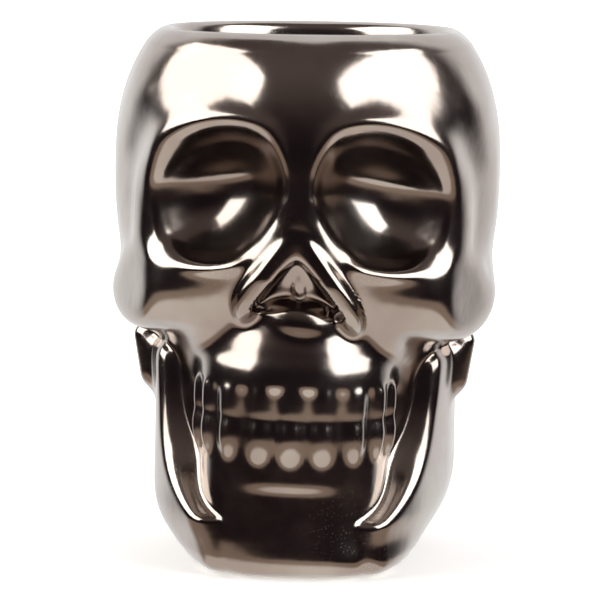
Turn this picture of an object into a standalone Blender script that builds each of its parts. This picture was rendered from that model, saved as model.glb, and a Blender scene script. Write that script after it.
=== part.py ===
"""Skull oil burner: one slip-cast ceramic piece, in metres, +Z up, the face to -Y.

The skull's outside skin is a smooth distance function (skull below, in millimetres): superellipsoids,
columns and tubes joined and cut with rounded seams. The body is a turned blank whose rings are the rows of
points: each point lies on the skin along a level ray, over the rim, down into the shallow oil dish on top,
and round the foot. The candle chamber is a second turned blank, kept one wall thickness inside the skin,
and the arched door at the back is an extruded outline. Both are taken out of the body, so chamber and door
make one open hollow.
"""
import bpy
import bmesh
import numpy as np
from math import radians, sin, cos, pi

MM = 0.001
COLLECTION = "skull_oil_burner"

# ---------- driving dimensions (mm) ----------
HEIGHT = 125.0         # foot to rim
AXIS_Y = 2.0           # y of the axis that the level rays leave from
CENTRE = (0.0, 6.18)   # middle of the plan, which becomes the part's origin
WALL = 4.0             # cast wall
SHOULDER = 121.6       # the rim's roll starts here
RIM_ROLL = ((0.9, 122.6), (1.9, 123.6), (3.1, 124.5), (4.3, 125.0), (5.5, 124.75), (6.3, 123.9), (6.7, 122.7))   # way in from the skin, height
DISH_Y = 6.5           # centre of the cranium and of the dish
DISH_DEPTH = 27.0
FOOT_RECESS = 1.2
FLOOR = 5.2            # the chamber's floor
WELL_R, WELL_Y = 21.5, 8.0   # well for a 38 mm tealight
DOOR_WIDTH = 42.0
DOOR_SILL = 7.2
DOOR_TOP = 58.0
FACE_ROLL = 1.3        # degrees: the face sits a little askew on the head
TEETH = 9              # a row, one on the centre line
COLUMNS, ROWS = 72, 46
CHAMBER_COLUMNS, CHAMBER_ROWS = 34, 13


# ---------- implicit helpers (mm) ----------
def smin(a, b, k):
    h = np.maximum(k - np.abs(a - b), 0.0) / k
    return np.minimum(a, b) - h * h * h * k / 6.0
def smax(a, b, k):
    return -smin(-a, -b, k)
def ramp(t):
    t = np.clip(t, 0.0, 1.0)
    return t * t * t * (t * (6 * t - 15) + 10)
def turned(x, y, deg):
    a = radians(deg)
    return x * cos(a) + y * sin(a), -x * sin(a) + y * cos(a)
def ellipsoid(x, y, z, c, r, p=2.0, q=None, spin=0.0, tip=0.0, lean=0.0):
    """superellipsoid: plan exponent p, vertical exponent q; spin about z, tip about x, lean about y, in degrees"""
    q = q or p
    x, y, z = x - c[0], y - c[1], z - c[2]
    if spin: x, y = turned(x, y, spin)
    if tip: y, z = turned(y, z, tip)
    if lean: x, z = turned(x, z, lean)
    u, v, w = np.abs(x) / r[0], np.abs(y) / r[1], np.abs(z) / r[2]
    plan = (u ** p + v ** p + 1e-12) ** (1 / p)
    f = (plan ** q + w ** q) ** (1 / q) + 1e-9
    gp = (plan / f) ** (q - 1)
    gx = gp * (u / plan) ** (p - 1) / r[0]
    gy = gp * (v / plan) ** (p - 1) / r[1]
    gz = (w / f) ** (q - 1) / r[2]
    return (f - 1) / np.sqrt(gx * gx + gy * gy + gz * gz + 1e-12)
def spline(pts, n):
    """natural cubic through pts, n samples a span"""
    P = np.array(pts, float)
    m = len(P)
    A = np.eye(m); B = np.zeros_like(P)
    for i in range(1, m - 1):
        A[i, i - 1:i + 2] = (1, 4, 1)
        B[i] = 6 * (P[i + 1] - 2 * P[i] + P[i - 1])
    M = np.linalg.solve(A, B)
    out = []
    for i in range(m - 1):
        for s in np.arange(n) / n:
            out.append((1 - s) * P[i] + s * P[i + 1] + ((1 - s) ** 3 - (1 - s)) * M[i] / 6 + (s ** 3 - s) * M[i + 1] / 6)
    out.append(P[-1])
    return np.array(out)
_cache = {}
def tube(x, y, z, pts):
    """tube of varying radius along a smooth curve, pts = (x, y, z, radius)"""
    key = tuple(map(tuple, pts))
    if key not in _cache:
        C = spline(pts, 8)
        T = np.gradient(C, axis=0)
        A = np.gradient(T, axis=0)
        _cache[key] = (C, T, A)
    C, T, A = _cache[key]
    best = np.full(x.shape, 1e9); bi = np.zeros(x.shape, int)
    for i, c in enumerate(C):
        e = (x - c[0]) ** 2 + (y - c[1]) ** 2 + (z - c[2]) ** 2
        m = e < best
        best[m] = e[m]; bi[m] = i
    c, t, a = C[bi], T[bi], A[bi]
    s = np.zeros(x.shape)
    for _ in range(2):
        px = x - (c[..., 0] + s * t[..., 0] + 0.5 * s * s * a[..., 0])
        py = y - (c[..., 1] + s * t[..., 1] + 0.5 * s * s * a[..., 1])
        pz = z - (c[..., 2] + s * t[..., 2] + 0.5 * s * s * a[..., 2])
        tx, ty, tz = t[..., 0] + s * a[..., 0], t[..., 1] + s * a[..., 1], t[..., 2] + s * a[..., 2]
        s = s + (px * tx + py * ty + pz * tz) / (tx * tx + ty * ty + tz * tz + 1e-9)
        s = np.clip(s, np.where(bi == 0, 0, -1.0), np.where(bi == len(C) - 1, 0, 1.0))
    q = c + s[..., None] * t + 0.5 * (s * s)[..., None] * a
    return np.sqrt((x - q[..., 0]) ** 2 + (y - q[..., 1]) ** 2 + (z - q[..., 2]) ** 2 + 1e-12) - q[..., 3]
def column(x, y, a, b, cy, p):
    u, v = np.abs(x) / a + 1e-9, np.abs(y - cy) / b + 1e-9
    f = (u ** p + v ** p) ** (1 / p)
    gx = (u / f) ** (p - 1) / a
    gy = (v / f) ** (p - 1) / b
    return (f - 1) / np.sqrt(gx * gx + gy * gy + 1e-12)

# ---------- the skull, outside skin ----------

def warp(x, y, z):
    w = ramp((6 - y) / 30.0) * ramp(z / 12.0) * ramp((122.0 - z) / 22.0)
    a = radians(FACE_ROLL) * w
    zz = z - 78.0
    return x * np.cos(a) - zz * np.sin(a), y, x * np.sin(a) + zz * np.cos(a) + 78.0

def skull(x, y, z, fine=True):
    """distance to the outside skin in mm, negative inside; without the fine features for the chamber's wall"""
    x, y, z = warp(x, y, z)
    e = 0.8
    X = np.sqrt(x * x + e * e) - e + 1e-9

    # cranium, pulled in at the temples behind the orbits
    zc = np.where(z < 92.5, 92.5 + (z - 92.5) * 45.8 / 56.0, z)
    d = ellipsoid(x, y, zc, (0, 6.5, 92.5), (46.2, 53.5, 45.8), 2.15 + 0.2 * ramp((z - 92) / 20.0) * ramp((118 - z) / 14.0) * ramp((0 - y) / 20.0), 2.4)
    d = smax(d, -ellipsoid(X, y, z, (57.5, -30, 87), (17.5, 22, 20)), 9)

    # lower head: neck and jaw core, tapering to the foot
    s = ramp(z / 42.0)
    core = column(x, y, 22.2 + 1.8 * s + 9.0 * ramp((z - 42.0) / 20.0), 38.0 + 4.0 * s, -1.0 + 4.0 * s, 2.6)
    base = column(x, y, 23.3 + 8.7 * ramp((z + 5) / 24.0), 29.0 + 9.0 * ramp((z + 5) / 50.0), 8.0, 2.6)
    core = smax(smin(core, base, 6), z - 68, 14)
    d = smin(d, core, 7)

    # front of the face between brow and teeth
    d = smin(d, ellipsoid(x, y, z, (0, -10, 76), (35, 31.0, 29), 2.5, 2.6), 6)
    # brow, from the glabella round over the orbit and down to the cheek
    brow = tube(X, y, z, [(2, -37.6, 97, 5.4), (12, -39.0, 101.0, 4.2), (22, -36.2, 102.5, 3.6), (30, -30.6, 99, 3.4),
                          (35.0, -26.2, 90, 3.6), (36.0, -25.5, 80, 4.0), (35.0, -26.5, 70, 4.6)])
    d = smin(d, brow, 7)
    # cheekbone: body, and the arch running back
    d = smin(d, ellipsoid(X, y, z, (27.0, -24, 66.5), (17.5, 12.0, 10.0), 2.6, 2.2, spin=28, tip=14), 7)
    arch = tube(X, y, z, [(30, -26, 65, 8.0), (35.6, -15, 62.5, 8.2), (38.0, -2, 63.5, 6.4), (37.0, 14, 68, 4.5)])
    d = smin(d, arch, 9)

    side = 0.912 * X - 0.41 * y - 45.1
    d = smax(d, smin(side, z - 52, 6), 4.0)

    # upper jaw: a dome that ends over the teeth, and the row's base under it
    dome = ellipsoid(x, y, z, (0, -22.0, 42.0), (23.0, 24.2, 28.5), 2.1, 2.2)
    d = smin(d, smax(dome, 44.2 - z, 2.5), 4.0)
    d = smin(d, smax(column(x, y, 21.7, 22.2 - 0.8 * (1 - ramp((z - 19.7) / 2.8)) * np.exp(-(x / 9.5) ** 4) + 0.6 * ramp((z - 37) / 6.0), -22.2, 2.4), z - 50, 6), 3.0)
    # chin: an upright block, drawn in a little under the teeth
    front = 24.0 + 0.05 * np.clip(19 - z, 0, 14)
    chin = column(x, y, 19.4 + 1.8 * ramp((18 - z) / 12.0), front, -19.0, 3.0)
    d = smin(d, smax(chin, z - 30, 6), 3.0)

    # mandible: outer side flat and tapering to the chin, its front face receding as it rises, cut back to the foot below
    yf = -15.5 - 22.5 * np.exp(-(np.maximum(z, 13.0) - 14.0) / 11.0)
    low = 1.8 * ramp((16 - z) / 12.0)
    flank = smax(0.875 * X - 0.485 * y - 38.0 + low, 0.985 * X - 0.174 * y - 36.0, 9)
    outer = smax(flank, X - 36.2 - 0.22 * np.maximum(z - 36, 0), 9)
    jaw = smax(smax(outer, (yf - y) / 1.3, 3.6), smax(y - 19.0, z - 51.0, 8), 7)
    jaw = smin(jaw, tube(X, y, z, [(35.0, 0.0, 42, 3.6), (37.2, 0.0, 51, 3.0)]), 6)
    jaw = smax(jaw, 0.763 * X - 0.647 * z - 18.3, 6)
    d = smin(d, jaw, 0.8)

    # nose: bridge and the arched hood over the opening, a little askew
    nx, nz = x - 0.03 * np.clip(79 - z, 0, 24), z + 0.07 * x
    NX = np.sqrt(nx * nx + e * e) - e + 1e-9
    if fine:
        bridge = tube(X, y, z, [(0, -38.2, 98, 4.4), (0, -39.0, 92.0, 4.2), (0, -41.5, 86.4, 4.3), (0, -42.9, 82.6, 3.8), (0, -43.1, 79.5, 3.0)])
        d = smin(d, bridge, 4)
        hood = tube(NX, y, nz, [(0.0, -44.4, 77.6, 3.2), (3.2, -44.8, 73.7, 3.2), (6.5, -44.6, 69.5, 3.2), (9.4, -43.8, 65.6, 3.1), (11.0, -41.8, 62.4, 2.9), (11.4, -39.4, 60.2, 2.6)])
        hood = smax(hood, -47.25 + 0.25 * np.maximum(69 - nz, 0) - y, 0.8)
        d = smin(d, hood, 2.2)

    # eye sockets
    so = socket(X, y, z)
    soft = ramp((15 - X) / 7.0) * ramp((90 - z) / 8.0)      # no raised rim beside the nose
    d = d - 1.2 * (1 - soft) * ramp((X + 1) / 5.0) * np.exp(-(so / 2.6) ** 2) + 0.8 * ramp((z - 90) / 10.0) * ramp((X - 3) / 14.0) * np.exp(-((so - 8.0) / 4.5) ** 2)
    d = smax(d, -so, 4.5 + 4.0 * soft)
    # nose opening with a ceiling that slopes back, its septum and sill
    side = np.sqrt(nx * nx + 3.0) * cos(radians(36)) + (nz - 76.8) * sin(radians(36))
    ceiling = 0.85 * (y + 45.5) + 0.53 * (nz - 75.0)
    d = smax(d, -smax(smax(side, 61.0 - nz, 4.0), ceiling, 3.0), 1.2)
    if fine:
        d = smin(d, ellipsoid(nx, y, nz, (0.3, -38.5, 69.5), (1.6, 4.6, 5.0)), 4.0)
        d = smin(d, ellipsoid(nx, y, nz, (0.4, -35.4, 59.4), (9.6, 9.0, 6.2), 2.0), 3.0)
        d = smin(d, teeth(x, y, z), 1.0)
    # flat foot with a soft edge
    return smax(d, -z, 7.0)

def socket(X, y, z):
    """distance behind the bowl of the orbit: a paraboloid over a rounded four-sided outline, tall at the nose, low at the temple"""
    t = z - 87.0
    tt = np.clip(t, -18, 2)
    x0, a = 18.3 - 0.16 * tt, 13.4 + 0.155 * tt
    sx = np.clip(X - 18.4, -12, 18)
    z0, b = 87.2 - 0.11 * sx, 12.9 - 0.12 * sx
    u, w = (X - x0) / a, (z - z0) / b
    u2, w2 = u * u, np.where(w > 0, 0.8 * (w - 0.33 + np.sqrt((w - 0.33) ** 2 + 0.012)), w * w + 0.013)      # the roof starts at a soft crease
    f = u2 + w2 - 0.4 * np.minimum(u2, 1.3) * np.minimum(w2, 1.3)
    g = np.where(f > 1, 1 + 1.5 * (f - 1), f)
    D = 8.2
    bowl = -41.0 + 0.36 * (X - 4.5) + D * (1 - g) * (1 - 0.34 * np.clip(u, -1.2, 1.2))
    slope = 0.36 ** 2 + 4 * D * D * np.minimum(u2 / (a * a) + w2 / (b * b), 0.02)
    return (y - bowl) / np.sqrt(1 + slope)

ARCH = ((0.0, -43.4, 0), (7.1, -42.5, 13), (13.6, -39.2, 33), (18.2, -33.6, 52), (20.6, -27.4, 66))   # teeth out from the centre: x, y, turn

def teeth(x, y, z):
    d = None
    for i in range(TEETH):
        k = i - (TEETH - 1) // 2
        cx, cy, turn = ARCH[abs(k)]
        if k < 0:
            cx, turn = -cx, -turn
        px, py = turned(x - cx, y - cy, turn)
        e1 = ellipsoid(px, py, z, (0, 0.8, 40.9), (3.65, 4.0, 4.6), 2.0, 4.0)
        e2 = ellipsoid(px, py, z, (0, 0.9, 33.6), (3.6, 4.3, 7.6), 2.0, 2.0)
        e = smin(e1, e2, 0.8)
        d = e if d is None else smin(d, e, 1.7)
    return d

# ---------- sampling ----------
def rays(u, z):
    """start and direction of the level ray of column u (-1..1, 0 = front, -y) at height z: level with the face round the eyes, radial below"""
    w = ramp((z - 50.0) / 18.0) * (1 - 0.55 * ramp((z - 104.0) / 16.0))
    t = np.abs(u)
    t = t - 0.3 * np.sin(pi * t) / pi
    x0 = (8.0 + 20.0 * w) * np.where(t < 0.4, np.sin(pi / 2 * np.minimum(t / 0.4, 1)), np.cos(pi / 2 * np.clip((t - 0.4) / 0.6, 0, 1) ** 1.5))
    a, b = 0.2, 0.45
    m = 1 / ((b - a) / 2 + 1 - b)
    q = np.where(t < a, 0.0, np.where(t < b, m * (t - a) ** 2 / (2 * (b - a)), m * (b - a) / 2 + m * (t - b)))
    ph = pi * (w * q + (1 - w) * t)
    return np.sign(u) * x0, np.sign(u) * np.sin(ph), -np.cos(ph)

def skin(u, z, steps=44):
    """points of the outside skin on the level rays"""
    ox, sx, sy = rays(u, z)
    r = np.full(u.shape, 66.0)
    for _ in range(steps):
        r = np.maximum(r - 0.85 * skull(ox + sx * r, AXIS_Y + sy * r, z), 1.0)
    return ox + sx * r, AXIS_Y + sy * r

def smooth(a, n):
    """a few passes of a small blur, round the columns and along the rows"""
    for _ in range(n):
        a = (np.roll(a, 1, 1) + 2 * a + np.roll(a, -1, 1)) / 4
        b = np.concatenate([a[:1], a, a[-1:]])
        a = (b[:-2] + 2 * b[1:-1] + b[2:]) / 4
    return a

# ---------- the burner's rows of points ----------
def outside(cols, rows):
    """all rows of the outer surface, from the dish's centre over the rim and down to the foot's centre"""
    n = 4 if cols < 200 else 1          # a coarse body takes the mean of a finer sampling
    u = np.linspace(-1, 1, cols * n, endpoint=False)
    k = np.linspace(0, 1, (rows - 1) * n + 1)
    z = SHOULDER + (4.0 - SHOULDER) * (k + 0.045 * np.sin(2 * pi * k) - 0.02 * np.sin(4 * pi * k))
    z = np.concatenate([z, 4.0 * (1 - np.sin(np.linspace(0, 1.5, 5 * n + 1)[1:]))])
    U, Z = np.meshgrid(u, z)
    x, y = skin(U, Z)
    x, y = smooth(x, 6 if n > 1 else 1), smooth(y, 6 if n > 1 else 1)
    wall = np.stack([x, y, Z], -1)[::n, ::n]
    top = wall[0]
    inward = np.array([0, DISH_Y]) - top[:, :2]
    inward = inward / np.linalg.norm(inward, axis=1)[:, None]
    def lip(s, h):
        p = top.copy()
        p[:, :2] += inward * s
        p[:, 2] = h
        return p
    roll = [lip(s, h) for s, h in RIM_ROLL[::-1]]
    edge = roll[0]
    centre = np.array([0, DISH_Y])
    dish = []
    z0 = edge[0, 2]
    zb = HEIGHT - DISH_DEPTH
    n = max(6, rows // 6)
    for k in range(n):
        f = sin(pi / 2 * (k + 1) / (n + 1))
        p = edge.copy()
        p[:, :2] = centre + (edge[:, :2] - centre) * f
        p[:, 2] = z0 - (z0 - zb) * (1 - f ** 2.3) ** (1 / 2.0)
        dish.append(p)
    low = wall[-1]
    c = np.array([0, -3.0])
    foot = []
    for f, h in ((0.975, 0.0), (0.87, 0.0), (0.845, FOOT_RECESS), (0.5, FOOT_RECESS)):
        p = low.copy()
        p[:, :2] = c + (low[:, :2] - c) * f
        p[:, 2] = h
        foot.append(p)
    pole1 = np.tile(np.array([0, DISH_Y, zb]), (cols, 1))
    pole2 = np.tile(np.array([0, -3.0, FOOT_RECESS]), (cols, 1))
    return np.stack([pole1] + dish + roll + list(wall) + foot + [pole2])

def inside(cols, rows):
    """rows of the chamber: ceiling under the dish, gutter round it, wall a fixed way inside the skin, flat floor"""
    u = np.linspace(-1, 1, cols, endpoint=False) * pi
    z = np.linspace(110.0, FLOOR + 2.2, rows)
    U, Z = np.meshgrid(u, z)
    sx, sy = np.sin(U), -np.cos(U)
    r = np.full(U.shape, 4.0)
    for _ in range(40):
        r = r - 0.8 * (skull(sx * r, AXIS_Y + sy * r, Z, False) + WALL)
    low = np.minimum(np.minimum(np.roll(r, 1, 1), np.roll(r, -1, 1)), r)
    b = np.concatenate([low[:1], low, low[-1:]])
    r = smooth(np.minimum(np.minimum(b[:-2], b[2:]), low), 2)
    # the round well that the candle stands in
    off = WELL_Y - AXIS_Y
    well = off * sy + np.sqrt(WELL_R ** 2 - (off * sx) ** 2)
    r = np.maximum(r, well * ramp((70 - Z) / 25.0))
    wall = np.stack([sx * r, AXIS_Y + sy * r, Z], -1)
    top = wall[0]
    c = np.array([0, DISH_Y])
    rows_ = []
    # the dish's underside
    o = outside_edge(u)
    zb = HEIGHT - DISH_DEPTH - WALL
    n = 6
    for k in range(n):
        f = sin(pi / 2 * (k + 1) / (n + 0.55))
        p = top.copy()
        p[:, :2] = c + (o - c) * f
        p[:, 2] = 122.0 - (122.0 - zb) * (1 - f ** 2.3) ** 0.5
        rows_.append(p)
    last = rows_[-1]
    h = last[0, 2]
    gutter = []
    for f, dz in ((0.25, 2.2), (0.6, 2.6), (0.88, 1.6)):
        p = top.copy()
        p[:, :2] = last[:, :2] * (1 - f) + top[:, :2] * f
        p[:, 2] = h * (1 - f) + top[0, 2] * f + dz
        gutter.append(p)
    floor = []
    for f, dz in ((0.985, 0.9), (0.94, 0.0), (0.5, 0.0)):
        p = wall[-1].copy()
        p[:, :2] = np.array([0, AXIS_Y]) + (p[:, :2] - np.array([0, AXIS_Y])) * f
        p[:, 2] = FLOOR + dz
        floor.append(p)
    pole1 = np.tile(np.array([0, DISH_Y, zb]), (cols, 1))
    pole2 = np.tile(np.array([0, AXIS_Y, FLOOR]), (cols, 1))
    return np.stack([pole1] + rows_ + gutter + list(wall) + floor + [pole2])

def outside_edge(u):
    """plan of the dish's underside at the rim, for ray angles u: the cranium's plan there, less rim and wall"""
    t = np.abs(np.sin(u)) ** 2.15 / 35.9 ** 2.15 + np.abs(np.cos(u)) ** 2.15 / 41.0 ** 2.15
    r = t ** (-1 / 2.15)
    return np.stack([np.sin(u) * r, DISH_Y - np.cos(u) * r], -1)


# ---------- building ----------
def clear():
    for obj in list(bpy.data.objects):
        bpy.data.objects.remove(obj, do_unlink=True)

def collection(name):
    c = bpy.data.collections.new(name)
    bpy.context.scene.collection.children.link(c)
    return c

def glaze():
    m = bpy.data.materials.new("pewter_glaze")
    m.use_nodes = True
    b = m.node_tree.nodes["Principled BSDF"]
    b.inputs["Base Color"].default_value = (0.36, 0.31, 0.28, 1.0)
    b.inputs["Metallic"].default_value = 1.0
    b.inputs["Roughness"].default_value = 0.12
    m.diffuse_color = (0.36, 0.31, 0.28, 1.0)
    return m

def turned_blank(name, rows, home):
    """a turned body whose rings are the rows of points: the profile's heights number the rows, and every
    point then goes to its place in its row"""
    count, columns = rows.shape[0], rows.shape[1]
    mesh = bpy.data.meshes.new(name + "_profile")
    bm = bmesh.new()
    last = None
    for i in range(count):
        r = 0.0 if i in (0, count - 1) else 0.01
        v = bm.verts.new((r, 0.0, -0.001 * i))
        if last is not None:
            bm.edges.new((last, v))
        last = v
    bm.to_mesh(mesh)
    bm.free()
    obj = bpy.data.objects.new(name, mesh)
    home.objects.link(obj)
    screw = obj.modifiers.new("turn", "SCREW")
    screw.axis = "Z"
    screw.angle = 2 * pi
    screw.steps = columns
    screw.render_steps = columns
    screw.use_merge_vertices = True
    screw.merge_threshold = 0.00001
    bpy.context.view_layer.update()
    graph = bpy.context.evaluated_depsgraph_get()
    solid = bpy.data.meshes.new_from_object(obj.evaluated_get(graph))
    obj.modifiers.clear()
    obj.data = solid
    solid.name = name
    for v in solid.vertices:
        row = int(round(-v.co.z / 0.001))
        turn = (np.degrees(np.arctan2(v.co.y, v.co.x)) + 90.0) / 360.0 if v.co.xy.length > 0.001 else 0.0
        column_ = int(round((turn + 0.5) * columns)) % columns
        p = rows[row, column_]
        v.co = ((p[0] - CENTRE[0]) * MM, (p[1] - CENTRE[1]) * MM, p[2] * MM)
    solid.update()
    solid.shade_smooth()
    return obj

def door(home):
    """arched opening at the back, from inside the chamber to beyond the skin"""
    half = DOOR_WIDTH / 2
    spring = DOOR_TOP - half
    pts = [(-half, DOOR_SILL), (half, DOOR_SILL)]
    for k in range(17):
        a = pi * k / 16
        pts.append((half * cos(a), spring + half * sin(a)))
    curve = bpy.data.curves.new("door_outline", "CURVE")
    curve.dimensions = "2D"
    curve.fill_mode = "BOTH"
    curve.extrude = 25.0 * MM
    s = curve.splines.new("POLY")
    s.points.add(len(pts) - 1)
    for p, (x, z) in zip(s.points, pts):
        p.co = (x * MM, z * MM, 0.0, 1.0)
    s.use_cyclic_u = True
    outline = bpy.data.objects.new("door_outline", curve)
    home.objects.link(outline)
    bpy.context.view_layer.update()
    graph = bpy.context.evaluated_depsgraph_get()
    mesh = bpy.data.meshes.new_from_object(outline.evaluated_get(graph))
    bpy.data.objects.remove(outline, do_unlink=True)
    bm = bmesh.new()
    bm.from_mesh(mesh)
    bmesh.ops.remove_doubles(bm, verts=bm.verts, dist=0.00001)
    # stand the outline up, its depth along y
    for v in bm.verts:
        v.co = (v.co.x, 0.041 - CENTRE[1] * MM - v.co.z, v.co.y)
    bmesh.ops.recalc_face_normals(bm, faces=bm.faces)
    bm.to_mesh(mesh)
    bm.free()
    obj = bpy.data.objects.new("door_cutter", mesh)
    home.objects.link(obj)
    return obj

def cut(target, tool, name, operation="DIFFERENCE"):
    m = target.modifiers.new(name, "BOOLEAN")
    m.operation = operation
    m.solver = "EXACT"
    m.object = tool
    tool.hide_render = True
    tool.display_type = "WIRE"

def main():
    clear()
    parts = collection(COLLECTION)
    cutters = collection("cutters")
    body = turned_blank("skull_body", outside(COLUMNS, ROWS), parts)
    body.data.materials.append(glaze())
    chamber = turned_blank("chamber_cutter", inside(CHAMBER_COLUMNS, CHAMBER_ROWS), cutters)
    arch = door(cutters)
    cut(body, chamber, "chamber")
    cut(body, arch, "door")

main()
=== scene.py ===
import bpy
import bmesh
import numpy as np
from math import radians, sin, cos, pi
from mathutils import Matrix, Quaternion, Vector

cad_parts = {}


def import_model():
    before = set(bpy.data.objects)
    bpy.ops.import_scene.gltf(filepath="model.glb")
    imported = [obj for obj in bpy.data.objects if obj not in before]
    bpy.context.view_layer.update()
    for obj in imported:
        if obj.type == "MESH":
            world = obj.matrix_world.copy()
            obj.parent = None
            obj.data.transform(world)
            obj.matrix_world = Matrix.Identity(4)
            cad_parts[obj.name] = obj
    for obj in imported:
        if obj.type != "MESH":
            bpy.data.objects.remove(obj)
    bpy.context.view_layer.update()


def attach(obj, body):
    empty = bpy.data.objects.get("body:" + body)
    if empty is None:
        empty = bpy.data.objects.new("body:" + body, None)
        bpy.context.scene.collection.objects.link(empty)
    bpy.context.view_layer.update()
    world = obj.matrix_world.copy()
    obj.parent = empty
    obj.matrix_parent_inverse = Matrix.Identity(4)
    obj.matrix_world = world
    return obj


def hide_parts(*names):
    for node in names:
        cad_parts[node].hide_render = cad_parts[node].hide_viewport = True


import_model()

MM = 0.001

# ---------- driving dimensions (mm), as in the CAD ----------
HEIGHT = 125.0         # foot to rim
AXIS_Y = 2.0           # y of the axis that the level rays leave from
CENTRE = (0.0, 6.18)   # middle of the plan, which becomes the part's origin
WALL = 4.0             # cast wall
SHOULDER = 121.6       # the rim's roll starts here
RIM_ROLL = ((0.9, 122.6), (1.9, 123.6), (3.1, 124.5), (4.3, 125.0), (5.5, 124.75), (6.3, 123.9), (6.7, 122.7))   # way in from the skin, height
DISH_Y = 6.5           # centre of the cranium and of the dish
DISH_DEPTH = 27.0
FOOT_RECESS = 1.2
FLOOR = 5.2            # the chamber's floor
WELL_R, WELL_Y = 21.5, 8.0   # well for a 38 mm tealight
DOOR_WIDTH = 42.0
DOOR_SILL = 7.2
DOOR_TOP = 58.0
FACE_ROLL = 1.3        # degrees: the face sits a little askew on the head
TEETH = 9              # a row, one on the centre line
COLUMNS, ROWS = 320, 226
CHAMBER_COLUMNS, CHAMBER_ROWS = 96, 36


# ---------- implicit helpers (mm) ----------
def smin(a, b, k):
    h = np.maximum(k - np.abs(a - b), 0.0) / k
    return np.minimum(a, b) - h * h * h * k / 6.0
def smax(a, b, k):
    return -smin(-a, -b, k)
def ramp(t):
    t = np.clip(t, 0.0, 1.0)
    return t * t * t * (t * (6 * t - 15) + 10)
def turned(x, y, deg):
    a = radians(deg)
    return x * cos(a) + y * sin(a), -x * sin(a) + y * cos(a)
def ellipsoid(x, y, z, c, r, p=2.0, q=None, spin=0.0, tip=0.0, lean=0.0):
    """superellipsoid: plan exponent p, vertical exponent q; spin about z, tip about x, lean about y, in degrees"""
    q = q or p
    x, y, z = x - c[0], y - c[1], z - c[2]
    if spin: x, y = turned(x, y, spin)
    if tip: y, z = turned(y, z, tip)
    if lean: x, z = turned(x, z, lean)
    u, v, w = np.abs(x) / r[0], np.abs(y) / r[1], np.abs(z) / r[2]
    plan = (u ** p + v ** p + 1e-12) ** (1 / p)
    f = (plan ** q + w ** q) ** (1 / q) + 1e-9
    gp = (plan / f) ** (q - 1)
    gx = gp * (u / plan) ** (p - 1) / r[0]
    gy = gp * (v / plan) ** (p - 1) / r[1]
    gz = (w / f) ** (q - 1) / r[2]
    return (f - 1) / np.sqrt(gx * gx + gy * gy + gz * gz + 1e-12)
def spline(pts, n):
    """natural cubic through pts, n samples a span"""
    P = np.array(pts, float)
    m = len(P)
    A = np.eye(m); B = np.zeros_like(P)
    for i in range(1, m - 1):
        A[i, i - 1:i + 2] = (1, 4, 1)
        B[i] = 6 * (P[i + 1] - 2 * P[i] + P[i - 1])
    M = np.linalg.solve(A, B)
    out = []
    for i in range(m - 1):
        for s in np.arange(n) / n:
            out.append((1 - s) * P[i] + s * P[i + 1] + ((1 - s) ** 3 - (1 - s)) * M[i] / 6 + (s ** 3 - s) * M[i + 1] / 6)
    out.append(P[-1])
    return np.array(out)
_cache = {}
def tube(x, y, z, pts):
    """tube of varying radius along a smooth curve, pts = (x, y, z, radius)"""
    key = tuple(map(tuple, pts))
    if key not in _cache:
        C = spline(pts, 8)
        T = np.gradient(C, axis=0)
        A = np.gradient(T, axis=0)
        _cache[key] = (C, T, A)
    C, T, A = _cache[key]
    best = np.full(x.shape, 1e9); bi = np.zeros(x.shape, int)
    for i, c in enumerate(C):
        e = (x - c[0]) ** 2 + (y - c[1]) ** 2 + (z - c[2]) ** 2
        m = e < best
        best[m] = e[m]; bi[m] = i
    c, t, a = C[bi], T[bi], A[bi]
    s = np.zeros(x.shape)
    for _ in range(2):
        px = x - (c[..., 0] + s * t[..., 0] + 0.5 * s * s * a[..., 0])
        py = y - (c[..., 1] + s * t[..., 1] + 0.5 * s * s * a[..., 1])
        pz = z - (c[..., 2] + s * t[..., 2] + 0.5 * s * s * a[..., 2])
        tx, ty, tz = t[..., 0] + s * a[..., 0], t[..., 1] + s * a[..., 1], t[..., 2] + s * a[..., 2]
        s = s + (px * tx + py * ty + pz * tz) / (tx * tx + ty * ty + tz * tz + 1e-9)
        s = np.clip(s, np.where(bi == 0, 0, -1.0), np.where(bi == len(C) - 1, 0, 1.0))
    q = c + s[..., None] * t + 0.5 * (s * s)[..., None] * a
    return np.sqrt((x - q[..., 0]) ** 2 + (y - q[..., 1]) ** 2 + (z - q[..., 2]) ** 2 + 1e-12) - q[..., 3]
def column(x, y, a, b, cy, p):
    u, v = np.abs(x) / a + 1e-9, np.abs(y - cy) / b + 1e-9
    f = (u ** p + v ** p) ** (1 / p)
    gx = (u / f) ** (p - 1) / a
    gy = (v / f) ** (p - 1) / b
    return (f - 1) / np.sqrt(gx * gx + gy * gy + 1e-12)

# ---------- the skull, outside skin ----------

def warp(x, y, z):
    w = ramp((6 - y) / 30.0) * ramp(z / 12.0) * ramp((122.0 - z) / 22.0)
    a = radians(FACE_ROLL) * w
    zz = z - 78.0
    return x * np.cos(a) - zz * np.sin(a), y, x * np.sin(a) + zz * np.cos(a) + 78.0

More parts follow.
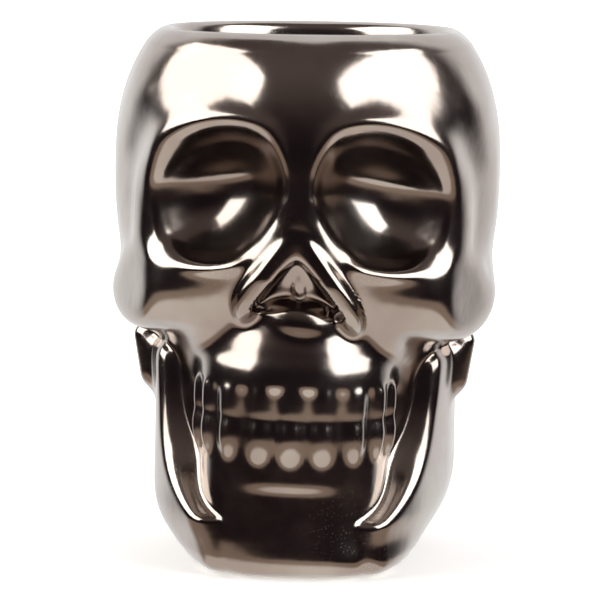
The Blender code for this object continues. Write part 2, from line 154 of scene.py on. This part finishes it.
def skull(x, y, z, fine=True):
    """distance to the outside skin in mm, negative inside; without the fine features for the chamber's wall"""
    x, y, z = warp(x, y, z)
    e = 0.8
    X = np.sqrt(x * x + e * e) - e + 1e-9

    # cranium, pulled in at the temples behind the orbits
    zc = np.where(z < 92.5, 92.5 + (z - 92.5) * 45.8 / 56.0, z)
    d = ellipsoid(x, y, zc, (0, 6.5, 92.5), (46.2, 53.5, 45.8), 2.15 + 0.2 * ramp((z - 92) / 20.0) * ramp((118 - z) / 14.0) * ramp((0 - y) / 20.0), 2.4)
    d = smax(d, -ellipsoid(X, y, z, (57.5, -30, 87), (17.5, 22, 20)), 9)

    # lower head: neck and jaw core, tapering to the foot
    s = ramp(z / 42.0)
    core = column(x, y, 22.2 + 1.8 * s + 9.0 * ramp((z - 42.0) / 20.0), 38.0 + 4.0 * s, -1.0 + 4.0 * s, 2.6)
    base = column(x, y, 23.3 + 8.7 * ramp((z + 5) / 24.0), 29.0 + 9.0 * ramp((z + 5) / 50.0), 8.0, 2.6)
    core = smax(smin(core, base, 6), z - 68, 14)
    d = smin(d, core, 7)

    # front of the face between brow and teeth
    d = smin(d, ellipsoid(x, y, z, (0, -10, 76), (35, 31.0, 29), 2.5, 2.6), 6)
    # brow, from the glabella round over the orbit and down to the cheek
    brow = tube(X, y, z, [(2, -37.6, 97, 5.4), (12, -39.0, 101.0, 4.2), (22, -36.2, 102.5, 3.6), (30, -30.6, 99, 3.4),
                          (35.0, -26.2, 90, 3.6), (36.0, -25.5, 80, 4.0), (35.0, -26.5, 70, 4.6)])
    d = smin(d, brow, 7)
    # cheekbone: body, and the arch running back
    d = smin(d, ellipsoid(X, y, z, (27.0, -24, 66.5), (17.5, 12.0, 10.0), 2.6, 2.2, spin=28, tip=14), 7)
    arch = tube(X, y, z, [(30, -26, 65, 8.0), (35.6, -15, 62.5, 8.2), (38.0, -2, 63.5, 6.4), (37.0, 14, 68, 4.5)])
    d = smin(d, arch, 9)

    side = 0.912 * X - 0.41 * y - 45.1
    d = smax(d, smin(side, z - 52, 6), 4.0)

    # upper jaw: a dome that ends over the teeth, and the row's base under it
    dome = ellipsoid(x, y, z, (0, -22.0, 42.0), (23.0, 24.2, 28.5), 2.1, 2.2)
    d = smin(d, smax(dome, 44.2 - z, 2.5), 4.0)
    d = smin(d, smax(column(x, y, 21.7, 22.2 - 0.8 * (1 - ramp((z - 19.7) / 2.8)) * np.exp(-(x / 9.5) ** 4) + 0.6 * ramp((z - 37) / 6.0), -22.2, 2.4), z - 50, 6), 3.0)
    # chin: an upright block, drawn in a little under the teeth
    front = 24.0 + 0.05 * np.clip(19 - z, 0, 14)
    chin = column(x, y, 19.4 + 1.8 * ramp((18 - z) / 12.0), front, -19.0, 3.0)
    d = smin(d, smax(chin, z - 30, 6), 3.0)

    # mandible: outer side flat and tapering to the chin, its front face receding as it rises, cut back to the foot below
    yf = -15.5 - 22.5 * np.exp(-(np.maximum(z, 13.0) - 14.0) / 11.0)
    low = 1.8 * ramp((16 - z) / 12.0)
    flank = smax(0.875 * X - 0.485 * y - 38.0 + low, 0.985 * X - 0.174 * y - 36.0, 9)
    outer = smax(flank, X - 36.2 - 0.22 * np.maximum(z - 36, 0), 9)
    jaw = smax(smax(outer, (yf - y) / 1.3, 3.6), smax(y - 19.0, z - 51.0, 8), 7)
    jaw = smin(jaw, tube(X, y, z, [(35.0, 0.0, 42, 3.6), (37.2, 0.0, 51, 3.0)]), 6)
    jaw = smax(jaw, 0.763 * X - 0.647 * z - 18.3, 6)
    d = smin(d, jaw, 0.8)

    # nose: bridge and the arched hood over the opening, a little askew
    nx, nz = x - 0.03 * np.clip(79 - z, 0, 24), z + 0.07 * x
    NX = np.sqrt(nx * nx + e * e) - e + 1e-9
    if fine:
        bridge = tube(X, y, z, [(0, -38.2, 98, 4.4), (0, -39.0, 92.0, 4.2), (0, -41.5, 86.4, 4.3), (0, -42.9, 82.6, 3.8), (0, -43.1, 79.5, 3.0)])
        d = smin(d, bridge, 4)
        hood = tube(NX, y, nz, [(0.0, -44.4, 77.6, 3.2), (3.2, -44.8, 73.7, 3.2), (6.5, -44.6, 69.5, 3.2), (9.4, -43.8, 65.6, 3.1), (11.0, -41.8, 62.4, 2.9), (11.4, -39.4, 60.2, 2.6)])
        hood = smax(hood, -47.25 + 0.25 * np.maximum(69 - nz, 0) - y, 0.8)
        d = smin(d, hood, 2.2)

    # eye sockets
    so = socket(X, y, z)
    soft = ramp((15 - X) / 7.0) * ramp((90 - z) / 8.0)      # no raised rim beside the nose
    d = d - 1.2 * (1 - soft) * ramp((X + 1) / 5.0) * np.exp(-(so / 2.6) ** 2) + 0.8 * ramp((z - 90) / 10.0) * ramp((X - 3) / 14.0) * np.exp(-((so - 8.0) / 4.5) ** 2)
    d = smax(d, -so, 4.5 + 4.0 * soft)
    # nose opening with a ceiling that slopes back, its septum and sill
    side = np.sqrt(nx * nx + 3.0) * cos(radians(36)) + (nz - 76.8) * sin(radians(36))
    ceiling = 0.85 * (y + 45.5) + 0.53 * (nz - 75.0)
    d = smax(d, -smax(smax(side, 61.0 - nz, 4.0), ceiling, 3.0), 1.2)
    if fine:
        d = smin(d, ellipsoid(nx, y, nz, (0.3, -38.5, 69.5), (1.6, 4.6, 5.0)), 4.0)
        d = smin(d, ellipsoid(nx, y, nz, (0.4, -35.4, 59.4), (9.6, 9.0, 6.2), 2.0), 3.0)
        d = smin(d, teeth(x, y, z), 1.0)
    # flat foot with a soft edge
    return smax(d, -z, 7.0)

def socket(X, y, z):
    """distance behind the bowl of the orbit: a paraboloid over a rounded four-sided outline, tall at the nose, low at the temple"""
    t = z - 87.0
    tt = np.clip(t, -18, 2)
    x0, a = 18.3 - 0.16 * tt, 13.4 + 0.155 * tt
    sx = np.clip(X - 18.4, -12, 18)
    z0, b = 87.2 - 0.11 * sx, 12.9 - 0.12 * sx
    u, w = (X - x0) / a, (z - z0) / b
    u2, w2 = u * u, np.where(w > 0, 0.8 * (w - 0.33 + np.sqrt((w - 0.33) ** 2 + 0.012)), w * w + 0.013)      # the roof starts at a soft crease
    f = u2 + w2 - 0.4 * np.minimum(u2, 1.3) * np.minimum(w2, 1.3)
    g = np.where(f > 1, 1 + 1.5 * (f - 1), f)
    D = 8.2
    bowl = -41.0 + 0.36 * (X - 4.5) + D * (1 - g) * (1 - 0.34 * np.clip(u, -1.2, 1.2))
    slope = 0.36 ** 2 + 4 * D * D * np.minimum(u2 / (a * a) + w2 / (b * b), 0.02)
    return (y - bowl) / np.sqrt(1 + slope)

ARCH = ((0.0, -43.4, 0), (7.1, -42.5, 13), (13.6, -39.2, 33), (18.2, -33.6, 52), (20.6, -27.4, 66))   # teeth out from the centre: x, y, turn

def teeth(x, y, z):
    d = None
    for i in range(TEETH):
        k = i - (TEETH - 1) // 2
        cx, cy, turn = ARCH[abs(k)]
        if k < 0:
            cx, turn = -cx, -turn
        px, py = turned(x - cx, y - cy, turn)
        e1 = ellipsoid(px, py, z, (0, 0.8, 40.9), (3.65, 4.0, 4.6), 2.0, 4.0)
        e2 = ellipsoid(px, py, z, (0, 0.9, 33.6), (3.6, 4.3, 7.6), 2.0, 2.0)
        e = smin(e1, e2, 0.8)
        d = e if d is None else smin(d, e, 1.7)
    return d

# ---------- sampling ----------
def rays(u, z):
    """start and direction of the level ray of column u (-1..1, 0 = front, -y) at height z: level with the face round the eyes, radial below"""
    w = ramp((z - 50.0) / 18.0) * (1 - 0.55 * ramp((z - 104.0) / 16.0))
    t = np.abs(u)
    t = t - 0.3 * np.sin(pi * t) / pi
    x0 = (8.0 + 20.0 * w) * np.where(t < 0.4, np.sin(pi / 2 * np.minimum(t / 0.4, 1)), np.cos(pi / 2 * np.clip((t - 0.4) / 0.6, 0, 1) ** 1.5))
    a, b = 0.2, 0.45
    m = 1 / ((b - a) / 2 + 1 - b)
    q = np.where(t < a, 0.0, np.where(t < b, m * (t - a) ** 2 / (2 * (b - a)), m * (b - a) / 2 + m * (t - b)))
    ph = pi * (w * q + (1 - w) * t)
    return np.sign(u) * x0, np.sign(u) * np.sin(ph), -np.cos(ph)

def skin(u, z, steps=44):
    """points of the outside skin on the level rays"""
    ox, sx, sy = rays(u, z)
    r = np.full(u.shape, 66.0)
    for _ in range(steps):
        r = np.maximum(r - 0.85 * skull(ox + sx * r, AXIS_Y + sy * r, z), 1.0)
    return ox + sx * r, AXIS_Y + sy * r

def smooth(a, n):
    """a few passes of a small blur, round the columns and along the rows"""
    for _ in range(n):
        a = (np.roll(a, 1, 1) + 2 * a + np.roll(a, -1, 1)) / 4
        b = np.concatenate([a[:1], a, a[-1:]])
        a = (b[:-2] + 2 * b[1:-1] + b[2:]) / 4
    return a

# ---------- the burner's rows of points ----------
def outside(cols, rows):
    """all rows of the outer surface, from the dish's centre over the rim and down to the foot's centre"""
    n = 4 if cols < 200 else 1          # a coarse body takes the mean of a finer sampling
    u = np.linspace(-1, 1, cols * n, endpoint=False)
    k = np.linspace(0, 1, (rows - 1) * n + 1)
    z = SHOULDER + (4.0 - SHOULDER) * (k + 0.045 * np.sin(2 * pi * k) - 0.02 * np.sin(4 * pi * k))
    z = np.concatenate([z, 4.0 * (1 - np.sin(np.linspace(0, 1.5, 5 * n + 1)[1:]))])
    U, Z = np.meshgrid(u, z)
    x, y = skin(U, Z)
    x, y = smooth(x, 6 if n > 1 else 1), smooth(y, 6 if n > 1 else 1)
    wall = np.stack([x, y, Z], -1)[::n, ::n]
    top = wall[0]
    inward = np.array([0, DISH_Y]) - top[:, :2]
    inward = inward / np.linalg.norm(inward, axis=1)[:, None]
    def lip(s, h):
        p = top.copy()
        p[:, :2] += inward * s
        p[:, 2] = h
        return p
    roll = [lip(s, h) for s, h in RIM_ROLL[::-1]]
    edge = roll[0]
    centre = np.array([0, DISH_Y])
    dish = []
    z0 = edge[0, 2]
    zb = HEIGHT - DISH_DEPTH
    n = max(6, rows // 6)
    for k in range(n):
        f = sin(pi / 2 * (k + 1) / (n + 1))
        p = edge.copy()
        p[:, :2] = centre + (edge[:, :2] - centre) * f
        p[:, 2] = z0 - (z0 - zb) * (1 - f ** 2.3) ** (1 / 2.0)
        dish.append(p)
    low = wall[-1]
    c = np.array([0, -3.0])
    foot = []
    for f, h in ((0.975, 0.0), (0.87, 0.0), (0.845, FOOT_RECESS), (0.5, FOOT_RECESS)):
        p = low.copy()
        p[:, :2] = c + (low[:, :2] - c) * f
        p[:, 2] = h
        foot.append(p)
    pole1 = np.tile(np.array([0, DISH_Y, zb]), (cols, 1))
    pole2 = np.tile(np.array([0, -3.0, FOOT_RECESS]), (cols, 1))
    return np.stack([pole1] + dish + roll + list(wall) + foot + [pole2])

def inside(cols, rows):
    """rows of the chamber: ceiling under the dish, gutter round it, wall a fixed way inside the skin, flat floor"""
    u = np.linspace(-1, 1, cols, endpoint=False) * pi
    z = np.linspace(110.0, FLOOR + 2.2, rows)
    U, Z = np.meshgrid(u, z)
    sx, sy = np.sin(U), -np.cos(U)
    r = np.full(U.shape, 4.0)
    for _ in range(40):
        r = r - 0.8 * (skull(sx * r, AXIS_Y + sy * r, Z, False) + WALL)
    low = np.minimum(np.minimum(np.roll(r, 1, 1), np.roll(r, -1, 1)), r)
    b = np.concatenate([low[:1], low, low[-1:]])
    r = smooth(np.minimum(np.minimum(b[:-2], b[2:]), low), 2)
    # the round well that the candle stands in
    off = WELL_Y - AXIS_Y
    well = off * sy + np.sqrt(WELL_R ** 2 - (off * sx) ** 2)
    r = np.maximum(r, well * ramp((70 - Z) / 25.0))
    wall = np.stack([sx * r, AXIS_Y + sy * r, Z], -1)
    top = wall[0]
    c = np.array([0, DISH_Y])
    rows_ = []
    # the dish's underside
    o = outside_edge(u)
    zb = HEIGHT - DISH_DEPTH - WALL
    n = 6
    for k in range(n):
        f = sin(pi / 2 * (k + 1) / (n + 0.55))
        p = top.copy()
        p[:, :2] = c + (o - c) * f
        p[:, 2] = 122.0 - (122.0 - zb) * (1 - f ** 2.3) ** 0.5
        rows_.append(p)
    last = rows_[-1]
    h = last[0, 2]
    gutter = []
    for f, dz in ((0.25, 2.2), (0.6, 2.6), (0.88, 1.6)):
        p = top.copy()
        p[:, :2] = last[:, :2] * (1 - f) + top[:, :2] * f
        p[:, 2] = h * (1 - f) + top[0, 2] * f + dz
        gutter.append(p)
    floor = []
    for f, dz in ((0.985, 0.9), (0.94, 0.0), (0.5, 0.0)):
        p = wall[-1].copy()
        p[:, :2] = np.array([0, AXIS_Y]) + (p[:, :2] - np.array([0, AXIS_Y])) * f
        p[:, 2] = FLOOR + dz
        floor.append(p)
    pole1 = np.tile(np.array([0, DISH_Y, zb]), (cols, 1))
    pole2 = np.tile(np.array([0, AXIS_Y, FLOOR]), (cols, 1))
    return np.stack([pole1] + rows_ + gutter + list(wall) + floor + [pole2])

def outside_edge(u):
    """plan of the dish's underside at the rim, for ray angles u: the cranium's plan there, less rim and wall"""
    t = np.abs(np.sin(u)) ** 2.15 / 35.9 ** 2.15 + np.abs(np.cos(u)) ** 2.15 / 41.0 ** 2.15
    r = t ** (-1 / 2.15)
    return np.stack([np.sin(u) * r, DISH_Y - np.cos(u) * r], -1)


# ---------- building ----------
def turned_blank(name, rows):
    """a turned body whose rings are the rows of points, each point then moved to its place in its row"""
    count, columns = rows.shape[0], rows.shape[1]
    mesh = bpy.data.meshes.new(name + "_profile")
    bm = bmesh.new()
    last = None
    for i in range(count):
        r = 0.0 if i in (0, count - 1) else 0.01
        v = bm.verts.new((r, 0.0, -0.001 * i))
        if last is not None:
            bm.edges.new((last, v))
        last = v
    bm.to_mesh(mesh)
    bm.free()
    obj = bpy.data.objects.new(name, mesh)
    bpy.context.scene.collection.objects.link(obj)
    screw = obj.modifiers.new("turn", "SCREW")
    screw.axis = "Z"
    screw.angle = 2 * pi
    screw.steps = screw.render_steps = columns
    screw.use_merge_vertices = True
    screw.merge_threshold = 0.00001
    bpy.context.view_layer.update()
    graph = bpy.context.evaluated_depsgraph_get()
    solid = bpy.data.meshes.new_from_object(obj.evaluated_get(graph))
    obj.modifiers.clear()
    obj.data = solid
    co = np.empty(len(solid.vertices) * 3, np.float32)
    solid.vertices.foreach_get("co", co)
    co = co.reshape(-1, 3).astype(float)
    row = np.rint(-co[:, 2] / 0.001).astype(int)
    turn = np.where(np.hypot(co[:, 0], co[:, 1]) > 0.001, (np.degrees(np.arctan2(co[:, 1], co[:, 0])) + 90.0) / 360.0, 0.0)
    column_ = np.rint((turn + 0.5) * columns).astype(int) % columns
    p = rows[row, column_]
    p = np.stack([(p[:, 0] - CENTRE[0]) * MM, (p[:, 1] - CENTRE[1]) * MM, p[:, 2] * MM], -1)
    solid.vertices.foreach_set("co", p.astype(np.float32).ravel())
    solid.update()
    return obj

def door_cutter():
    """arched opening at the back, from inside the chamber to beyond the skin"""
    half = DOOR_WIDTH / 2
    spring = DOOR_TOP - half
    pts = [(-half, DOOR_SILL), (half, DOOR_SILL)]
    for k in range(49):
        a = pi * k / 48
        pts.append((half * cos(a), spring + half * sin(a)))
    bm = bmesh.new()
    near = [bm.verts.new((x * MM, (16.0 - CENTRE[1]) * MM, z * MM)) for x, z in pts]
    face = bm.faces.new(near)
    out = bmesh.ops.extrude_face_region(bm, geom=[face])
    bmesh.ops.translate(bm, verts=[v for v in out["geom"] if isinstance(v, bmesh.types.BMVert)], vec=(0, 50 * MM, 0))
    bmesh.ops.recalc_face_normals(bm, faces=bm.faces)
    mesh = bpy.data.meshes.new("door_cutter")
    bm.to_mesh(mesh)
    bm.free()
    obj = bpy.data.objects.new("door_cutter", mesh)
    bpy.context.scene.collection.objects.link(obj)
    return obj

# ---------- materials ----------
class Nodes:
    """short hand for building a node tree"""
    def __init__(self, tree):
        self.tree = tree
    def add(self, kind, **values):
        n = self.tree.nodes.new(kind)
        for key, value in values.items():
            if hasattr(n, key):
                setattr(n, key, value)
            else:
                n.inputs[key.replace("_", " ")].default_value = value
        return n
    def link(self, a, b):
        self.tree.links.new(a, b)
    def maths(self, op, a, b=None, c=None):
        n = self.tree.nodes.new("ShaderNodeMath")
        n.operation = op
        for socket, v in zip(n.inputs, (a, b, c)):
            if v is None:
                continue
            if isinstance(v, (int, float)):
                socket.default_value = v
            else:
                self.link(v, socket)
        return n.outputs[0]
    def spread(self, v, lo, hi, a=0.0, b=1.0):
        n = self.tree.nodes.new("ShaderNodeMapRange")
        n.interpolation_type = "SMOOTHSTEP"
        self.link(v, n.inputs[0])
        for k, x in zip((1, 2, 3, 4), (lo, hi, a, b)):
            n.inputs[k].default_value = x
        return n.outputs[0]
    def mix(self, f, a, b):
        n = self.tree.nodes.new("ShaderNodeMix")
        n.data_type = "RGBA"
        for k, v in ((0, f), (6, a), (7, b)):
            if isinstance(v, (int, float)):
                n.inputs[k].default_value = v
            elif isinstance(v, tuple):
                n.inputs[k].default_value = v if len(v) == 4 else v + (1.0,)
            else:
                self.link(v, n.inputs[k])
        return n.outputs[2]

def glaze():
    """dark pewter lustre glaze: a soft mirror with a slight warm and cool drift and fine pits"""
    m = bpy.data.materials.new("pewter_glaze")
    m.use_nodes = True
    t = Nodes(m.node_tree)
    b = m.node_tree.nodes["Principled BSDF"]
    where = t.add("ShaderNodeTexCoord").outputs["Object"]
    # broad drift of the lustre
    drift = t.add("ShaderNodeTexNoise", Scale=38.0, Detail=3.0, Roughness=0.5)
    t.link(where, drift.inputs["Vector"])
    colour = t.mix(t.spread(drift.outputs["Fac"], 0.35, 0.65), (0.40, 0.345, 0.315), (0.50, 0.455, 0.42))
    # fine grain, crowded in patches
    grain = t.add("ShaderNodeTexVoronoi", Scale=1500.0, Randomness=1.0)
    t.link(where, grain.inputs["Vector"])
    patch = t.add("ShaderNodeTexNoise", Scale=55.0, Detail=2.0)
    t.link(where, patch.inputs["Vector"])
    speck = t.maths("MULTIPLY", t.spread(grain.outputs["Distance"], 0.10, 0.20, 1.0, 0.0), t.spread(patch.outputs["Fac"], 0.52, 0.68))
    colour = t.mix(t.maths("MULTIPLY", speck, 0.5), colour, (0.75, 0.70, 0.64))
    t.link(colour, b.inputs["Base Color"])
    b.inputs["Metallic"].default_value = 1.0
    rough = t.add("ShaderNodeTexNoise", Scale=90.0, Detail=4.0, Roughness=0.6)
    t.link(where, rough.inputs["Vector"])
    t.link(t.spread(rough.outputs["Fac"], 0.3, 0.7, 0.13, 0.19), b.inputs["Roughness"])
    # orange-peel of the fired glaze, and the grain as pits
    peel = t.add("ShaderNodeTexNoise", Scale=160.0, Detail=2.0, Roughness=0.5)
    t.link(where, peel.inputs["Vector"])
    height = t.maths("ADD", t.maths("MULTIPLY", peel.outputs["Fac"], 0.00006), t.maths("MULTIPLY", speck, 0.00001))
    bump = t.add("ShaderNodeBump", Strength=1.0, Distance=1.0)
    t.link(height, bump.inputs["Height"])
    t.link(bump.outputs[0], b.inputs["Normal"])
    return m

def lining():
    """inside of the chamber: the thin, duller coat that ran in, over the clay"""
    m = bpy.data.materials.new("chamber_glaze")
    m.use_nodes = True
    t = Nodes(m.node_tree)
    b = m.node_tree.nodes["Principled BSDF"]
    where = t.add("ShaderNodeTexCoord").outputs["Object"]
    n = t.add("ShaderNodeTexNoise", Scale=60.0, Detail=5.0, Roughness=0.6)
    t.link(where, n.inputs["Vector"])
    t.link(t.mix(t.spread(n.outputs["Fac"], 0.35, 0.7), (0.10, 0.085, 0.075), (0.17, 0.145, 0.125)), b.inputs["Base Color"])
    t.link(t.spread(n.outputs["Fac"], 0.3, 0.7, 0.42, 0.6), b.inputs["Roughness"])
    b.inputs["Metallic"].default_value = 0.35
    bump = t.add("ShaderNodeBump", Strength=1.0, Distance=0.0001)
    t.link(n.outputs["Fac"], bump.inputs["Height"])
    t.link(bump.outputs[0], b.inputs["Normal"])
    return m

def bare_clay():
    """the foot ring and recess, wiped clean of glaze before firing"""
    m = bpy.data.materials.new("bare_foot")
    m.use_nodes = True
    t = Nodes(m.node_tree)
    b = m.node_tree.nodes["Principled BSDF"]
    where = t.add("ShaderNodeTexCoord").outputs["Object"]
    n = t.add("ShaderNodeTexNoise", Scale=400.0, Detail=5.0, Roughness=0.7)
    t.link(where, n.inputs["Vector"])
    t.link(t.mix(t.spread(n.outputs["Fac"], 0.3, 0.7), (0.62, 0.57, 0.50), (0.74, 0.70, 0.64)), b.inputs["Base Color"])
    b.inputs["Roughness"].default_value = 0.85
    bump = t.add("ShaderNodeBump", Strength=0.6, Distance=0.0001)
    t.link(n.outputs["Fac"], bump.inputs["Height"])
    t.link(bump.outputs[0], b.inputs["Normal"])
    return m

# ---------- the body ----------
body = turned_blank("skull_glazed", outside(COLUMNS, ROWS))
chamber = turned_blank("chamber_cutter", inside(CHAMBER_COLUMNS, CHAMBER_ROWS))
arch = door_cutter()
body.data.materials.append(glaze())
body.data.materials.append(lining())
body.data.materials.append(bare_clay())
for mesh, slot in ((chamber.data, 1), (arch.data, 0)):
    mesh.materials.append(None)
    mesh.materials.append(None)
    mesh.polygons.foreach_set("material_index", [slot] * len(mesh.polygons))
for tool in (chamber, arch):
    mod = body.modifiers.new(tool.name, "BOOLEAN")
    mod.operation = "DIFFERENCE"
    mod.solver = "EXACT"
    mod.object = tool
    mod.material_mode = "INDEX"
bpy.context.view_layer.update()
cut = bpy.data.meshes.new_from_object(body.evaluated_get(bpy.context.evaluated_depsgraph_get()))
body.modifiers.clear()
body.data = cut
for tool in (chamber, arch):
    bpy.data.objects.remove(tool, do_unlink=True)
for p in cut.polygons:
    if p.center.z < 0.00125 and p.normal.z < -0.5:
        p.material_index = 2
cut.shade_smooth()
cut.set_sharp_from_angle(angle=radians(38))
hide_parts("skull_body")
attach(body, "root")

# ---------- studio ----------
scene = bpy.context.scene
scene.view_settings.view_transform = "Standard"
scene.view_settings.look = "None"

def world():
    """white sheet behind and beside the object and close round it, a dark room in front, and pale behind everything that the camera sees"""
    w = bpy.data.worlds.new("studio")
    scene.world = w
    w.use_nodes = True
    w.node_tree.nodes.clear()
    t = Nodes(w.node_tree)
    where = t.add("ShaderNodeTexCoord").outputs["Generated"]
    unit = t.tree.nodes.new("ShaderNodeVectorMath")
    unit.operation = "NORMALIZE"
    t.link(where, unit.inputs[0])
    xyz = t.tree.nodes.new("ShaderNodeSeparateXYZ")
    t.link(unit.outputs[0], xyz.inputs[0])
    x, y, z = xyz.outputs
    round_ = t.maths("ABSOLUTE", t.maths("ARCTAN2", x, t.maths("MULTIPLY", y, -1.0)))
    up = t.maths("ARCSINE", z)
    behind = t.spread(round_, SHEET_AZ[0], SHEET_AZ[1])
    floor = t.maths("SUBTRACT", 1.0, t.spread(up, FLOOR_EL[0], FLOOR_EL[1]))
    table = t.maths("SUBTRACT", 1.0, t.spread(up, TABLE_EL[0], TABLE_EL[1]))
    colour = t.mix(t.spread(up, ROOM_EL[0], ROOM_EL[1]), ROOM_LOW, ROOM)
    colour = t.mix(floor, colour, FLOOR_FAR)
    colour = t.mix(table, colour, TABLE)
    colour = t.mix(behind, colour, SHEET)
    seen = t.add("ShaderNodeLightPath").outputs["Is Camera Ray"]
    a = t.add("ShaderNodeBackground", Strength=1.0)
    t.link(colour, a.inputs["Color"])
    b = t.add("ShaderNodeBackground", Strength=1.0, Color=(1.0, 1.0, 1.0, 1.0))
    m = t.tree.nodes.new("ShaderNodeMixShader")
    t.link(seen, m.inputs[0])
    t.link(a.outputs[0], m.inputs[1])
    t.link(b.outputs[0], m.inputs[2])
    out = t.tree.nodes.new("ShaderNodeOutputWorld")
    t.link(m.outputs[0], out.inputs[0])

SHEET_AZ = (2.05, 2.45)
ROOM = (0.115, 0.088, 0.080)
ROOM_LOW = (0.018, 0.012, 0.014)
ROOM_EL = (0.15, 0.95)
FLOOR_FAR = (0.40, 0.31, 0.25)
TABLE = (0.95, 0.87, 0.80)
SHEET = (1.0, 1.0, 1.0)
FLOOR_EL = (-0.34, -0.22)
TABLE_EL = (-0.64, -0.50)
world()

def softbox(name, azimuth, elevation, distance, width, height, power, colour):
    """area light at an azimuth from the face and an elevation, turned to the object"""
    a, e = radians(azimuth), radians(elevation)
    way = Vector((sin(a) * cos(e), -cos(a) * cos(e), sin(e)))
    light = bpy.data.lights.new(name, "AREA")
    light.shape = "RECTANGLE"
    light.size, light.size_y = width, height
    light.energy = power
    light.color = colour
    o = bpy.data.objects.new(name, light)
    o.location = Vector((0, 0, 0.07)) + way * distance
    o.rotation_mode = "QUATERNION"
    o.rotation_quaternion = way.to_track_quat("Z", "Y")
    o.visible_camera = False
    scene.collection.objects.link(o)

softbox("softbox_left", -78, 33, 0.8, 0.95, 0.62, 3.2 * pi * 0.95 * 0.62, (1.0, 0.97, 0.92))
softbox("softbox_right", 69, 31, 0.8, 0.85, 0.66, 3.2 * pi * 0.85 * 0.66, (1.0, 0.985, 0.96))

# pale table that glows with painted light, seen by the camera; what the glaze reflects of it is in the world
bm = bmesh.new()
bmesh.ops.create_grid(bm, x_segments=1, y_segments=1, size=8.0)
mesh = bpy.data.meshes.new("table")
bm.to_mesh(mesh)
bm.free()
table = bpy.data.objects.new("table", mesh)
table.location.z = -0.0002
scene.collection.objects.link(table)
m = bpy.data.materials.new("table_painted_glow")
m.use_nodes = True
t = Nodes(m.node_tree)
b = m.node_tree.nodes["Principled BSDF"]
b.inputs["Base Color"].default_value = (0.9, 0.9, 0.9, 1.0)
b.inputs["Roughness"].default_value = 0.9
b.inputs["Emission Color"].default_value = (1.0, 1.0, 1.0, 1.0)
where = t.add("ShaderNodeTexCoord").outputs["Object"]
far = t.tree.nodes.new("ShaderNodeVectorMath")
far.operation = "LENGTH"
t.link(where, far.inputs[0])
# painted light: the table glows by emission, weakly within 5 cm of the object and fully from 30 cm out, so the far
# table reads white while the lamps' own light and shadow show near the object
t.link(t.spread(far.outputs["Value"], 0.05, 0.30, 0.35, 1.1), b.inputs["Emission Strength"])
table.data.materials.append(m)
table.visible_glossy = False

# ---------- camera ----------
DISTANCE, ELEVATION, YAW, ROLL = 0.850, 6.7, 2.5, 0.8
TARGET = Vector((-0.0012, -CENTRE[1] * MM, 0.05995))
a, e = radians(YAW), radians(ELEVATION)
camera = bpy.data.cameras.new("camera")
camera.lens = 212.5
camera.sensor_width = 36.0
camera.clip_start = 0.05
eye = bpy.data.objects.new("camera", camera)
scene.collection.objects.link(eye)
eye.location = TARGET + DISTANCE * Vector((sin(a) * cos(e), -cos(a) * cos(e), sin(e)))
look = (TARGET - eye.location).to_track_quat("-Z", "Y")
eye.rotation_mode = "QUATERNION"
eye.rotation_quaternion = look @ Quaternion((0.0, 0.0, 1.0), radians(ROLL))
scene.camera = eye
